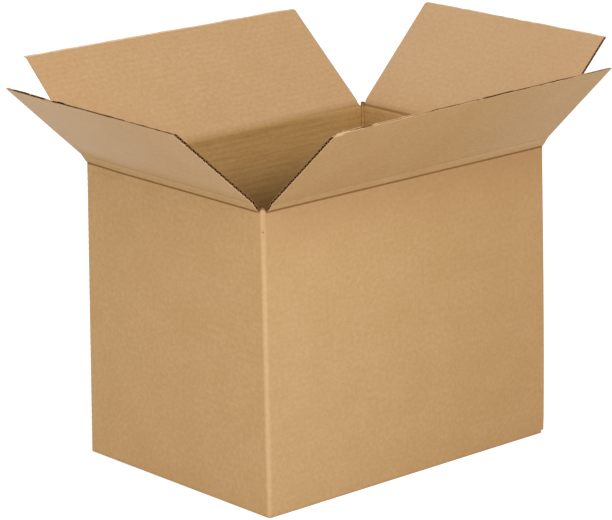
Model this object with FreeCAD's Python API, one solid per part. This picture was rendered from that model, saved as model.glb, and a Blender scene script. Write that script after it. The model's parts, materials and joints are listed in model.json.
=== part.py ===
import FreeCAD, Part
import math
import os
from FreeCAD import Vector

# An open shipping box: one slotted blank of single-wall corrugated board, folded into a tube, glued
# down one corner and closed underneath, with its four top flaps standing open.
# Millimetres and degrees. X runs along the long walls and Z is up. The origin is on the floor, under
# the middle of the box. The flutes run level, alongside the folds of the flaps.

# Box, measured over the outside
BOX_LENGTH = 440.0
BOX_WIDTH = 324.0
BOX_HEIGHT = 360.0          # floor to midway between the top folds of the long and short walls

# Board
BOARD = 3.6
LINER = 0.3
MEDIUM = 0.3
FLUTE_PITCH = 7.85
FLUTE_CONTACT = 1.2         # stretch of each flute that is stuck to a liner
FLUTE_CROWN = 0.5           # rise of the blunt tip of each flute, over its straight flanks
EDGE_LEDGE = 1.5            # least board between the last flute channel and a flap's outer edge

# Folds and slots
FOLD_RADIUS = 1.4           # inside radius of an upright corner fold
BOTTOM_RADIUS = 0.4         # inside radius of a fold under the box
CORNER_SLOT = 6.1           # from a corner's outer plane to the end of the fold beside it
FLAP_SIDE_GAP = 0.4         # from the end of a top fold to the side edge of its flap
TOP_SEAM = 1.0              # between the long walls' top flaps, closed
BOTTOM_SEAM = 0.4           # between the long walls' bottom flaps, glued shut
LAYER_GAP = 0.3             # between a closed top flap and the one folded over it
TONGUE_RISE = 4.3           # top of a corner fold, between two slots, above the box's height
TONGUE_ROUND = 8.0
CORNER_FOOT = 0.5           # lower end of a corner fold above the floor

# Scored folds that the top flaps hinge on
AXIS_OFFSET = 0.2           # hinge line outside the wall's outer face
MITRE_GAP = 0.2             # wall and flap each stop this far short of the mitre line between them
CRUSHED = 1.2               # board left at the fold, where the score has flattened it
WALL_CRUSH = 6.0            # the wall is back to its full thickness this far under the fold
FLAP_CRUSH = 13.0           # and the flap this far along, at a second, lighter score
SCORE_WIDTH = 1.6
SCORE_DEPTH = 0.3

# How far each top flap stands open, from closed
OPEN_FRONT = 137.1
OPEN_BACK = 140.2
OPEN_LEFT = 136.0
OPEN_RIGHT = 134.6

# Glued corner, at the right-hand end of the front wall
TAB_WIDTH = 35.0
TAB_END_GAP = 4.0           # from the tab's ends to the closed flaps over and under it
TAB_TAPER = 9.0             # how much lower each end of the tab is along its free edge
RAW_EDGE_SETBACK = 0.8      # cut edge of the front wall, back from the corner's outer plane

OVERCUT = 1.0               # how far a cutter runs past what it cuts

# Worked out from the sizes above
HALF_LENGTH = BOX_LENGTH / 2
HALF_WIDTH = BOX_WIDTH / 2
CORNER_RADIUS = FOLD_RADIUS + BOARD
BOTTOM_BEND = BOTTOM_RADIUS + BOARD
FLAP_REACH = HALF_WIDTH - TOP_SEAM / 2
BOTTOM_REACH = HALF_WIDTH - BOTTOM_SEAM / 2
SHORT_SCORE = BOX_HEIGHT - (BOARD + LAYER_GAP) / 2
LONG_SCORE = BOX_HEIGHT + (BOARD + LAYER_GAP) / 2
TUBE_TOP = BOX_HEIGHT + TONGUE_RISE
FLOOR_TOP = 2 * BOARD
LONG_FOLD = HALF_LENGTH - CORNER_SLOT
SHORT_FOLD = HALF_WIDTH - CORNER_SLOT

# Each wall: the distance of its outer face from the middle of the box, where its folds start and end
# along it, and the heights of its bottom and top folds. The folds of the right-hand wall start further
# in, because its tab lies inside the front wall.
WALLS = {
    "front": (HALF_WIDTH, -LONG_FOLD, LONG_FOLD, 0, LONG_SCORE),
    "back": (HALF_WIDTH, -LONG_FOLD, LONG_FOLD, 0, LONG_SCORE),
    "left": (HALF_LENGTH, -SHORT_FOLD, SHORT_FOLD, BOARD, SHORT_SCORE),
    "right": (HALF_LENGTH, BOARD - SHORT_FOLD, SHORT_FOLD, BOARD, SHORT_SCORE),
}
WALL_TURNS = {"front": 0, "back": 180, "left": -90, "right": 90}
OPEN_ANGLES = {"front": OPEN_FRONT, "back": OPEN_BACK, "left": OPEN_LEFT, "right": OPEN_RIGHT}

ORIGIN = Vector(0, 0, 0)
ALONG_FOLD = Vector(1, 0, 0)
UP = Vector(0, 0, 1)


def block(low, high):
    """A box between two opposite corners."""
    size = [b - a for a, b in zip(low, high)]
    return Part.makeBox(*size, Vector(*low))


def section_line(start, end):
    """A straight edge of a section, between points given as (Y, Z)."""
    return Part.makeLine(Vector(0, *start), Vector(0, *end))


def section_arc(start, middle, end):
    """A round edge of a section, through points given as (Y, Z)."""
    return Part.Arc(Vector(0, *start), Vector(0, *middle), Vector(0, *end)).toShape()


def section_outline(points):
    """The closed wire of a section through points given as (Y, Z)."""
    return Part.Wire([section_line(a, b) for a, b in zip(points, points[1:] + points[:1])])


def bar(wires, start, end):
    """A section in the YZ plane, with any holes after its outline, run along X from start to end."""
    face = Part.makeFace(wires, "Part::FaceMakerBullseye")
    face.translate(Vector(start, 0, 0))
    return face.extrude(Vector(end - start, 0, 0))


def onto_wall(shape, side, reach, height):
    """Moves what was made facing -Y at the origin to that distance on a wall's side, and height."""
    shape.translate(Vector(0, -reach, height))
    shape.rotate(ORIGIN, UP, WALL_TURNS[side])
    return shape


def rounded_prism(half_length, half_width, radius, low, high):
    """An upright block with rounded upright edges."""
    solid = block((-half_length, -half_width, low), (half_length, half_width, high))
    upright = [edge for edge in solid.Edges if abs(edge.tangentAt(edge.FirstParameter).z) > 0.5]
    return solid.makeFillet(radius, upright)


def wall_tube():
    """The four walls, with rounded corner folds."""
    outside = rounded_prism(HALF_LENGTH, HALF_WIDTH, CORNER_RADIUS, CORNER_FOOT, TUBE_TOP)
    inside = rounded_prism(HALF_LENGTH - BOARD, HALF_WIDTH - BOARD, FOLD_RADIUS,
                           CORNER_FOOT - OVERCUT, TUBE_TOP + OVERCUT)
    return outside.cut(inside)


def glued_corner(tube):
    """The corner where the blank's ends meet: the right wall's tab is glued inside the front wall."""
    bend_x = HALF_LENGTH - CORNER_RADIUS
    front_inside = BOARD - HALF_WIDTH
    bend_y = front_inside + CORNER_RADIUS
    past = HALF_LENGTH + OVERCUT
    corner = block((bend_x, -HALF_WIDTH - OVERCUT, -OVERCUT), (past, bend_y, TUBE_TOP + OVERCUT))
    raw_end = block((bend_x, -HALF_WIDTH, CORNER_FOOT),
                    (HALF_LENGTH - RAW_EDGE_SETBACK, front_inside, TUBE_TOP))
    centre = Vector(bend_x, bend_y, CORNER_FOOT)
    height = TUBE_TOP - CORNER_FOOT
    quarter = (centre, UP, 90)
    fold = Part.makeCylinder(CORNER_RADIUS, height, *quarter)
    fold = fold.cut(Part.makeCylinder(FOLD_RADIUS, height, *quarter))
    fold.rotate(centre, UP, -90)
    return tube.cut(corner).multiFuse([raw_end, fold, glue_tab(bend_x, front_inside)])


def glue_tab(start, outer_face):
    """The flap of board behind the front wall, with its ends sloped off."""
    free_edge = HALF_LENGTH - BOARD - TAB_WIDTH
    low = FLOOR_TOP + TAB_END_GAP
    high = SHORT_SCORE - AXIS_OFFSET - BOARD - TAB_END_GAP
    outline = [(start, low), (start, high), (free_edge, high - TAB_TAPER), (free_edge, low + TAB_TAPER)]
    corners = [Vector(x, outer_face, z) for x, z in outline]
    wire = Part.makePolygon(corners + corners[:1])
    return Part.Face(wire).extrude(Vector(0, BOARD, 0))


def slot_over_corner(corner_x, corner_y, reach_y):
    """What the slots leave out over a corner fold, down to its rounded end."""
    level = TUBE_TOP - TONGUE_ROUND
    side_x = math.copysign(1, corner_x)
    side_y = math.copysign(1, corner_y)
    xs = sorted([corner_x - side_x * CORNER_SLOT, corner_x + side_x * OVERCUT])
    ys = sorted([corner_y - side_y * CORNER_SLOT, corner_y + side_y * (reach_y + OVERCUT)])
    zone = block((xs[0], ys[0], level), (xs[1], ys[1], TUBE_TOP + OVERCUT))
    return zone.cut(Part.makeSphere(TONGUE_ROUND, Vector(corner_x, corner_y, level)))


def crushed_top(start, end):
    """What is cut from the top of a wall: its fold's mitre, and the slope that the score pressed in."""
    meet = -AXIS_OFFSET - MITRE_GAP
    clear = CORNER_RADIUS + TONGUE_RISE
    points = [
        (-OVERCUT, meet + OVERCUT),
        (CRUSHED, meet - CRUSHED),
        (BOARD, -WALL_CRUSH),
        (BOARD + OVERCUT, -WALL_CRUSH),
        (BOARD + OVERCUT, clear),
        (-OVERCUT, clear),
    ]
    return bar([section_outline(points)], start, end)


def bottom_strip(start, end):
    """A rounded bottom fold and its flap, which lies level under the box."""
    lean = math.sqrt(0.5)
    outer_middle = BOTTOM_BEND * (1 - lean)
    inner_middle = BOTTOM_BEND - BOTTOM_RADIUS * lean
    wire = Part.Wire([
        section_arc((0, BOTTOM_BEND), (outer_middle, outer_middle), (BOTTOM_BEND, 0)),
        section_line((BOTTOM_BEND, 0), (BOTTOM_REACH, 0)),
        section_line((BOTTOM_REACH, 0), (BOTTOM_REACH, BOARD)),
        section_line((BOTTOM_REACH, BOARD), (BOTTOM_BEND, BOARD)),
        section_arc((BOTTOM_BEND, BOARD), (inner_middle, inner_middle), (BOARD, BOTTOM_BEND)),
        section_line((BOARD, BOTTOM_BEND), (0, BOTTOM_BEND)),
    ])
    return bar([wire], start, end)


def box_body():
    """Walls, corner folds, glued corner and closed bottom: all of the blank but its top flaps."""
    body = glued_corner(wall_tube())
    cutters = [
        slot_over_corner(-HALF_LENGTH, -HALF_WIDTH, 0),
        slot_over_corner(-HALF_LENGTH, HALF_WIDTH, 0),
        slot_over_corner(HALF_LENGTH, HALF_WIDTH, 0),
        slot_over_corner(HALF_LENGTH, BOARD - HALF_WIDTH, BOARD),
    ]
    strips = []
    for side, (reach, start, end, bottom, top) in WALLS.items():
        cutters.append(onto_wall(crushed_top(start, end), side, reach, top))
        foot = block((start, -OVERCUT, -OVERCUT - bottom), (end, BOARD + OVERCUT, BOTTOM_BEND))
        cutters.append(onto_wall(foot, side, reach, bottom))
        strips.append(onto_wall(bottom_strip(start, end), side, reach, bottom))
    return body.cut(Part.makeCompound(cutters)).multiFuse(strips).removeSplitter()


def flap_outline():
    """Section of a closed top flap, from its hinge line at the origin inwards along Y."""
    top = -AXIS_OFFSET
    under = top - BOARD
    edge = FLAP_REACH + AXIS_OFFSET
    root = AXIS_OFFSET + MITRE_GAP
    return section_outline([
        (root, top),
        (FLAP_CRUSH - SCORE_WIDTH / 2, top),
        (FLAP_CRUSH, top - SCORE_DEPTH),
        (FLAP_CRUSH + SCORE_WIDTH / 2, top),
        (edge, top),
        (edge, under),
        (FLAP_CRUSH, under),
        (root + CRUSHED, top - CRUSHED),
    ])


def flute_channel(centre, base, direction):
    """Section of the space beside one flute: its base on a liner, its blunt tip under the other."""
    depth = BOARD - 2 * LINER - MEDIUM
    half_base = (FLUTE_PITCH - FLUTE_CONTACT) / 2
    half_tip = (FLUTE_CONTACT - MEDIUM) / 2
    shoulder = base + direction * (depth - FLUTE_CROWN)
    tip = base + direction * depth
    return section_outline([
        (centre - half_base, base),
        (centre + half_base, base),
        (centre + half_tip, shoulder),
        (centre, tip),
        (centre - half_tip, shoulder),
    ])


def flute_channels():
    """Channels of a top flap, by turns on its outer and its inner liner, half a pitch apart."""
    first = FLAP_CRUSH + SCORE_WIDTH / 2 + FLUTE_PITCH / 2
    last = FLAP_REACH + AXIS_OFFSET - EDGE_LEDGE - (FLUTE_PITCH - FLUTE_CONTACT) / 2
    outer_liner = -AXIS_OFFSET - LINER
    inner_liner = -AXIS_OFFSET - BOARD + LINER
    count = int((last - first) / (FLUTE_PITCH / 2)) + 1
    channels = []
    for step in range(count):
        on_outer = step % 2 == 1
        base = outer_liner if on_outer else inner_liner
        channels.append(flute_channel(first + step * FLUTE_PITCH / 2, base, -1 if on_outer else 1))
    return channels


def top_flap(side):
    """One top flap, swung open on its hinge line."""
    reach, start, end, bottom, height = WALLS[side]
    flap = bar([flap_outline()] + flute_channels(), start + FLAP_SIDE_GAP, end - FLAP_SIDE_GAP)
    flap.rotate(ORIGIN, ALONG_FOLD, OPEN_ANGLES[side])
    return onto_wall(flap, side, reach + AXIS_OFFSET, height)


def main():
    os.makedirs("parts", exist_ok=True)
    pieces = {"box_body": box_body()}
    for side in WALLS:
        pieces[side + "_flap"] = top_flap(side)
    for name, shape in pieces.items():
        shape.exportStep("parts/" + name + ".step")


main()
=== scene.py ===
import json
import math

import bpy
import numpy as np
from bpy.props import FloatProperty, FloatVectorProperty, IntProperty, PointerProperty
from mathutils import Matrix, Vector


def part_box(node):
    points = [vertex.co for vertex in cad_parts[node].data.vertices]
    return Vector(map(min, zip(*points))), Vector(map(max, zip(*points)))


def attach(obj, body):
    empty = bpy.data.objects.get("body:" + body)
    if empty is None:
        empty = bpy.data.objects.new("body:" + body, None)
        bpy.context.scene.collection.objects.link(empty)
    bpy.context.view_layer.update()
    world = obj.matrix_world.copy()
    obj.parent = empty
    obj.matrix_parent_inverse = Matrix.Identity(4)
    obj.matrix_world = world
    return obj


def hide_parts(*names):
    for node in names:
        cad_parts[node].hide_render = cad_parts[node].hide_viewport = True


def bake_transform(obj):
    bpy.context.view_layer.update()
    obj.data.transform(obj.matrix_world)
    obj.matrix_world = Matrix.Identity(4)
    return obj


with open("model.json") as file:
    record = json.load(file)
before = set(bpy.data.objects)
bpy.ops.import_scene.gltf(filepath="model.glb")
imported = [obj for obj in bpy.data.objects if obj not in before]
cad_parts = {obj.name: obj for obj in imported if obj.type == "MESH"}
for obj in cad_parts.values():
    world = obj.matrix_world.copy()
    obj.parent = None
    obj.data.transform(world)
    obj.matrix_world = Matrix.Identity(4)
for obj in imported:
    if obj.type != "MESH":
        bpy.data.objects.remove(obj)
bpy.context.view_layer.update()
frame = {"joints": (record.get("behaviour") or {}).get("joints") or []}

# An open shipping box of single-wall corrugated board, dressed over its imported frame.
# Metres. X runs along the long walls and Z is up. "Along" is measured to the right as one faces a
# wall from outside, and "out" is measured away from the middle of the box, square to that wall.

bl_info = {
    "name": "Open shipping box",
    "version": (1, 0, 0),
    "blender": (4, 5, 0),
    "location": "3D View > Sidebar > Box",
    "description": "Folds a corrugated shipping box over its frame and stands it on a plain stage",
    "category": "Object",
}

MM = 0.001

# What the frame says about the box
BODY_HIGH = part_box("box_body")[1]
HALF_LENGTH = BODY_HIGH.x
HALF_WIDTH = BODY_HIGH.y
TONGUE_TOP = BODY_HIGH.z
HINGES = {joint["child"].removesuffix("_flap"): joint for joint in frame["joints"]}
HINGE_HEIGHTS = {side: joint["pos_m"][2] for side, joint in HINGES.items()}
CREASE = sum(HINGE_HEIGHTS.values()) / len(HINGE_HEIGHTS)

# The order in which the blank's walls follow each other, with the turn that brings a wall that
# faces -Y round to its place, the distance of its outer face from the middle, and half its length.
TURNS = {"right": 90, "back": 180, "left": -90, "front": 0}
REACHES = {"right": HALF_LENGTH, "back": HALF_WIDTH, "left": HALF_LENGTH, "front": HALF_WIDTH}
HALVES = {"right": HALF_WIDTH, "back": HALF_LENGTH, "left": HALF_WIDTH, "front": HALF_LENGTH}


def length(name, description, value):
    """A size that a user may change."""
    return FloatProperty(name=name, description=description, default=value, unit="LENGTH", precision=5)


def degrees(name, description, value):
    """An angle that a user may change, given here in degrees."""
    return FloatProperty(name=name, description=description, default=math.radians(value), unit="ROTATION")


def colour(name, description, value):
    """A colour that a user may change, given here as red, green and blue out of 255."""
    shares = [part / 255 for part in value]
    return FloatVectorProperty(name=name, description=description, default=shares, size=3,
                               min=0, max=1, subtype="COLOR_GAMMA")


class BoardSizes(bpy.types.PropertyGroup):
    """The corrugated board."""
    thickness: length("Board", "Thickness of the board", 3.6 * MM)
    liner: length("Liner", "Thickness of each liner", 0.5 * MM)
    medium: length("Medium", "Thickness of the fluted sheet between the liners", 0.4 * MM)
    pitch: length("Flute pitch", "From one flute to the next", 7.85 * MM)
    crushed: length("Crushed board", "Thickness left at a scored fold", 2.2 * MM)
    smear: length("Smeared flutes", "How much thicker the medium is where a knife has smeared it", 1.0 * MM)
    inner_ripple: length("Inner ripple", "How far the flutes show through the inner liner", 0.07 * MM)
    outer_ripple: length("Outer ripple", "How far the flutes show through the outer liner", 0.02 * MM)


class FoldSizes(bpy.types.PropertyGroup):
    """The folds of the blank and the slots between its flaps."""
    corner_radius: length("Corner radius", "Outer radius of an upright corner fold", 4.6 * MM)
    slot: length("Slot", "From a corner's outer plane to the flap beside it", 6.1 * MM)
    bottom_radius: length("Bottom radius", "Outer radius of a fold under the box", 4.0 * MM)
    bottom_crisp: length("Bottom edge", "Radius to which the outer liner is drawn there", 1.8 * MM)
    bottom_reach: length("Bottom flap", "How far each bottom flap reaches under the box", 161.8 * MM)
    seam_drop: length("Joining line", "From the creases down to where the flap pieces start", 8.0 * MM)
    tongue_rise: length("Tongue rise", "How far the near tongue stands above the frame's own", 1.2 * MM)
    tongue_fall: length("Tongue fall", "How far the back right tongue stays below it", 2.0 * MM)
    notch: length("Notch", "How far a slot runs down past the creases", 0.2 * MM)
    near_notch: length("Near notch", "How far above the creases the near corner's slots stop", 1.6 * MM)
    corner_bump: length("Corner bumps", "How far each flute bulges at an upright corner", 0.22 * MM)
    bead: length("Inside bead", "How far the bead in an inside corner stands proud", 1.3 * MM)
    bead_groove: length("Bead grooves", "Depth of the groove on each side of that bead", 0.35 * MM)
    tab: length("Glued tab", "Width of the tab behind the front wall", 35.0 * MM)
    raw_end: length("Raw end", "Setback of the front wall's cut edge from the corner", 0.8 * MM)
    open_end: length("Open end", "How far the flutes can be seen into at the cut edge", 4.0 * MM)
    skew: length("Skew", "How far the bottom back left corner has been pushed out", 8.0 * MM)
    warp: length("Warp", "How far that corner is off the floor", 1.4 * MM)
    kick: length("Kick", "How far the bottom front right corner has been pushed forwards", 2.6 * MM)
    deep_notch: length("Deep notch", "How far the slot beside the back right corner runs down", 3.8 * MM)


class FlapSizes(bpy.types.PropertyGroup):
    """The top flaps."""
    band: length("Second score", "From the crease to the second, lighter bend", 13.5 * MM)
    front_widening: length("Front widening", "How much wider the front flap's root is at its end", 4.5 * MM)
    groove: length("Crease groove", "Depth of the crease in the outer liner", 0.45 * MM)
    ragged: length("Ragged edge", "How far the liners' outer edges are uneven", 0.9 * MM)
    slit: length("Edge slit", "Widest gap left between the liners along an outer edge", 1.8 * MM)
    fold_zone: length("Fold zone", "Stretch of board that bends when a flap swings", 6.0 * MM)
    left_rise: length("Left rise", "How far the left crease runs up at its back end", 1.2 * MM)
    left_trim: length("Left trim", "How much shorter the left flap is at its back end", 1.6 * MM)


# Depth of each flap in millimetres, then in degrees the lean of its root, its lean and how far it
# is twisted
FLAP_SHAPES = {
    "front": (160.5, 36.7, 47.15, -1.9),
    "back": (163.05, 50.5, 48.75, -2.3),
    "left": (159.2, 34.9, 47.98, 0.57),
    "right": (161.0, 44.8, 44.8, 0.4),
}
for side, (depth, band, lean, twist) in FLAP_SHAPES.items():
    title = side.capitalize()
    FlapSizes.__annotations__.update({
        side + "_depth": length(title + " depth", "From the crease to the flap's outer edge", depth * MM),
        side + "_band": degrees(title + " band", "Lean of the flap's root from upright", band),
        side + "_lean": degrees(title + " lean", "Lean of the flap from upright", lean),
        side + "_twist": degrees(title + " twist", "How much more it leans at its right end", twist),
    })


class KraftColours(bpy.types.PropertyGroup):
    """The colours of the board."""
    outside: colour("Outside", "Outer liner", (184, 147, 98))
    inside: colour("Inside", "Inner liner of the top flaps", (194, 156, 111))
    # Painted shade: the inner liner below the creases takes a deeper, more saturated tone, as light bounced
    # inside the box gives it.
    inner_wall_in_shade: colour("Inner wall", "Inner liner below the creases", (197, 155, 92))
    # Also painted as shade on the front wall and on the right flap.
    dark_fibre_and_shade: colour("Dark fibre", "Darkest fibres of a liner", (166, 124, 80))
    bead: colour("Bead", "Liner stretched over the bead of an inside corner", (228, 190, 124))
    shade: colour("Shade", "What dims the inner liner, deep inside", (161, 155, 133))
    # Also painted as highlight on the corner folds, the front wall and under the back crease.
    pale_fibre_and_highlight: colour("Pale fibre", "Palest fibres, and torn liner", (226, 192, 152))
    # The pale tone that painted sheen and light on the flaps mix their liners towards.
    paled: colour("Paled", "What the liners of the short walls' flaps have faded towards", (234, 220, 206))
    crease: colour("Crease", "Liner where a score has burnished it", (128, 88, 46))
    cut: colour("Cut edge", "Board cut across", (122, 88, 56))
    rim: colour("Cut liner", "Rim of the outer liner, cut across", (226, 204, 174))
    # Darker than the sheet's own brown: painted shade in the flute channels.
    medium: colour("Medium", "The fluted sheet between the liners", (38, 14, 1))
    flute: colour("Flute ends", "The fluted sheet, cut across", (158, 108, 64))


class StageSizes(bpy.types.PropertyGroup):
    """The floor, the lamps and the camera."""
    floor: length("Floor", "Width of the floor", 12.0)
    camera_place: FloatVectorProperty(name="Camera", description="Where the camera stands", size=3,
                                      default=(-2.3635, -2.7349, 1.2576), subtype="TRANSLATION")
    camera_turn: FloatVectorProperty(name="Camera turn", description="How the camera is turned", size=3,
                                     default=(1.2937, 0.0183, -0.7139), subtype="EULER")
    camera_lens: FloatProperty(name="Lens", description="Focal length", default=184.49, unit="CAMERA")
    side_level: FloatProperty(name="Light from the sides", default=0.62,
                              description="Strength of the even light, level")
    top_level: FloatProperty(name="Light from above", default=0.85,
                             description="Strength of the even light, overhead")
    key_power: FloatProperty(name="Key lamp", default=16.3, unit="POWER",
                             description="Power of the main lamp")
    fill_power: FloatProperty(name="Fill lamp", default=11.5, unit="POWER",
                              description="Power of the second lamp")
    seed: IntProperty(name="Seed", description="Which uneven edges are drawn", default=7)


class BoxSettings(bpy.types.PropertyGroup):
    """Everything that can be changed."""
    board: PointerProperty(type=BoardSizes)
    folds: PointerProperty(type=FoldSizes)
    flaps: PointerProperty(type=FlapSizes)
    colours: PointerProperty(type=KraftColours)
    stage: PointerProperty(type=StageSizes)


def settings():
    return bpy.context.scene.box_settings


# Meshes

def smoothstep(low, high, value):
    """0 up to low, 1 from high on, and a smooth rise in between."""
    share = np.clip((np.asarray(value, float) - low) / (high - low), 0, 1)
    return share * share * (3 - 2 * share)


def spread(stops, step):
    """Numbers from the first stop to the last that take in every stop and are at most a step apart."""
    values = [stops[0]]
    for low, high in zip(stops, stops[1:]):
        count = max(1, math.ceil((high - low) / step - 1e-6))
        values += [low + (high - low) * (k + 1) / count for k in range(count)]
    return np.array(values)


def facing(points, side):
    """Turns points that were laid out for a wall facing -Y round to a side of the box."""
    turn = math.radians(TURNS[side])
    x = points[..., 0] * math.cos(turn) - points[..., 1] * math.sin(turn)
    y = points[..., 0] * math.sin(turn) + points[..., 1] * math.cos(turn)
    return np.stack([x, y, points[..., 2]], axis=-1)


class Shell:
    """A mesh made of closed sheets, each a grid of cells with an outer and an inner skin."""

    def __init__(self):
        self.points = []
        self.faces = []
        self.places = []
        self.finishes = []

    def add(self, outer, inner, along, up, cells=None, finish=(0, 1, 2, 2)):
        """Adds a sheet. outer and inner hold a point for each column and row, along and up say
        where each lies on the unfolded blank, and cells says which cells of the grid are there."""
        columns, rows = outer.shape[:2]
        if cells is None:
            cells = np.ones((columns - 1, rows - 1), bool)
        base = sum(len(part) for part in self.points)
        used = np.zeros((columns, rows), bool)
        for shift_column, shift_row in ((0, 0), (1, 0), (0, 1), (1, 1)):
            used[shift_column:columns - 1 + shift_column, shift_row:rows - 1 + shift_row] |= cells
        count = int(used.sum())
        number = np.full((columns, rows), -1)
        number[used] = np.arange(count) + base
        place = np.stack(np.broadcast_arrays(along, up), axis=-1)
        self.points += [outer[used], inner[used]]
        self.places += [place[used], place[used]]
        for i, j in zip(*np.nonzero(cells)):
            a, b = int(number[i, j]), int(number[i + 1, j])
            c, d = int(number[i + 1, j + 1]), int(number[i, j + 1])
            self.quad((a, b, c, d), finish[0])
            self.quad((d + count, c + count, b + count, a + count), finish[1])
            if j == 0 or not cells[i, j - 1]:
                self.quad((b, a, a + count, b + count), finish[2])
            if j == rows - 2 or not cells[i, j + 1]:
                self.quad((d, c, c + count, d + count), finish[2])
            if i == 0 or not cells[i - 1, j]:
                self.quad((a, d, d + count, a + count), finish[3])
            if i == columns - 2 or not cells[i + 1, j]:
                self.quad((c, b, b + count, c + count), finish[3])

    def quad(self, corners, finish):
        self.faces.append(corners)
        self.finishes.append(finish)

    def make(self, name, materials):
        """Makes the mesh object, with its place on the unfolded blank, in metres, as its UV map."""
        mesh = bpy.data.meshes.new(name)
        mesh.from_pydata(np.concatenate(self.points).tolist(), [], self.faces)
        places = np.concatenate(self.places)
        layer = mesh.uv_layers.new(name="Blank")
        corners = np.zeros(len(mesh.loops), np.int32)
        mesh.loops.foreach_get("vertex_index", corners)
        layer.data.foreach_set("uv", places[corners].astype(np.float32).ravel())
        for material in materials:
            mesh.materials.append(material)
        mesh.polygons.foreach_set("material_index", self.finishes)
        mesh.polygons.foreach_set("use_smooth", [True] * len(self.faces))
        mesh.update()
        mesh.set_sharp_from_angle(angle=math.radians(40))
        piece = bpy.data.objects.new(name, mesh)
        bpy.context.scene.collection.objects.link(piece)
        return piece


# The blank's path round the box

class Column:
    """An upright line on the blank: its place on the unfolded blank, where its outer face stands
    in plan, and which way is inwards there."""

    def __init__(self, along, x, y, inward, side=None, lane=0.0, bend=None, after=None):
        self.along = along          # distance along the unfolded blank
        self.x = x
        self.y = y
        self.inward = inward
        self.side = side            # wall that it belongs to, or None in a corner fold
        self.lane = lane            # place along that wall, from its middle
        self.bend = bend            # share of the way round a corner fold
        self.after = after          # wall that the corner fold follows on the blank


# Where the lines of a corner fold stand, as shares of the way round it
FOLD_SHARES = (0.05, 0.11, 0.2, 0.31, 0.41, 0.5, 0.59, 0.69, 0.8, 0.89, 0.95)

# Where the glued tab's lines stand, as shares of its width
TAB_SHARES = (0, 0.3, 0.65, 0.9, 1)

# Where a wall's lines stand beside the ends of its creases, in millimetres from them
BESIDE_SLOT = (2.0, 3.0, 4.5, 8.0)


def corner_columns(corner_x, corner_y, start_angle, along, radius, after):
    """The lines round a corner fold, from just after one wall to just before the next."""
    columns = []
    for share in FOLD_SHARES:
        angle = start_angle + share * math.pi / 2
        outward = (math.cos(angle), math.sin(angle))
        columns.append(Column(along + share * radius * math.pi / 2, corner_x + radius * outward[0],
                              corner_y + radius * outward[1], (-outward[0], -outward[1]), bend=share,
                              after=after))
    return columns


def wall_columns(side, along, lanes, reach):
    """The lines of one wall, from left to right as it is seen from outside."""
    turn = math.radians(TURNS[side])
    columns = []
    for lane in lanes:
        x = lane * math.cos(turn) + reach * math.sin(turn)
        y = lane * math.sin(turn) - reach * math.cos(turn)
        place = along + lane - lanes[0]
        columns.append(Column(place, x, y, (-math.sin(turn), math.cos(turn)), side, lane))
    return columns


def crease_ends():
    """Where each wall's folds start and end along it. The tab lies inside the front wall, so the
    right-hand wall's folds start a board further in."""
    slot = settings().folds.slot
    tab = settings().board.thickness
    ends = {}
    for side, half in HALVES.items():
        start = slot - half
        ends[side] = (start + tab if side == "right" else start, half - slot)
    return ends


def blank_columns():
    """Every upright line of the folded blank: the tab, then each wall and corner fold in order."""
    folds = settings().folds
    board = settings().board
    radius = folds.corner_radius
    near = [step * MM for step in BESIDE_SLOT]
    tab_face = HALF_WIDTH - board.thickness
    tab_lanes = [HALF_LENGTH - board.thickness - folds.tab + share * (folds.tab + board.thickness - radius)
                 for share in TAB_SHARES]
    columns = wall_columns("front", 0.0, tab_lanes, tab_face)
    for column in columns:
        column.side = "tab"
    along = columns[-1].along
    ends = crease_ends()
    before = "tab"
    for side, half in HALVES.items():
        start = radius - half
        last = half - radius
        if side == "right":
            start += board.thickness
        if side == "front":
            last = half - folds.raw_end - folds.open_end
        turn = math.radians(TURNS[side])
        corner_x = start * math.cos(turn) + (REACHES[side] - radius) * math.sin(turn)
        corner_y = start * math.sin(turn) - (REACHES[side] - radius) * math.cos(turn)
        columns += corner_columns(corner_x, corner_y, turn - math.pi, along, radius, before)
        before = side
        along += radius * math.pi / 2
        low_fold, high_fold = ends[side]
        lanes = [start, low_fold] + [low_fold + step for step in near]
        lanes += list(spread([lanes[-1], high_fold - near[-1]], 40 * MM))[1:]
        if side == "front":
            lanes += [high_fold, last]
        else:
            lanes += [high_fold - step for step in reversed(near[:-1])] + [high_fold, last]
        walls = wall_columns(side, along, lanes, REACHES[side])
        columns += walls
        along = walls[-1].along
    return columns


def corner_depths(columns):
    """Depth of the inner skin under each line: the board, apart from the bead that the score leaves
    up each inside corner and the groove on each side of it."""
    folds = settings().folds
    board = settings().board.thickness
    depths = []
    for column in columns:
        depth = board
        if column.bend is not None:
            middle = 1 - abs(2 * column.bend - 1)
            groove = folds.bead_groove * float(1 - smoothstep(0.1, 0.55, middle))
            bead = folds.bead * float(smoothstep(0.3, 0.9, middle))
            depth = board + bead - groove
        elif column.side != "tab":
            gap = HALVES[column.side] - abs(column.lane) - folds.corner_radius
            shift = board if column.side == "right" and column.lane < 0 else 0
            closeness = float(1 - smoothstep(0.3 * MM, 1.8 * MM, gap - shift))
            depth = board - folds.bead_groove * closeness
        depths.append(depth)
    return np.array(depths)


class FoldWalls(bpy.types.Operator):
    """Folds the blank round its four corners and under the box: all of it but the top flaps"""
    bl_idname = "box.fold_walls"
    bl_label = "Fold walls"

    def execute(self, context):
        columns = blank_columns()
        depths = corner_depths(columns)
        rows = wall_rows()
        outer, inner = folded_blank(columns, depths, rows)
        along = np.array([column.along for column in columns])[:, None]
        up = np.array([row.up for row in rows])[None, :]
        shell = Shell()
        shell.add(outer, inner, along, up, blank_cells(columns, rows))
        piece = shell.make("folded_walls", board_finishes())
        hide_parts("box_body")
        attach(piece, "box")
        return {"FINISHED"}


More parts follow.
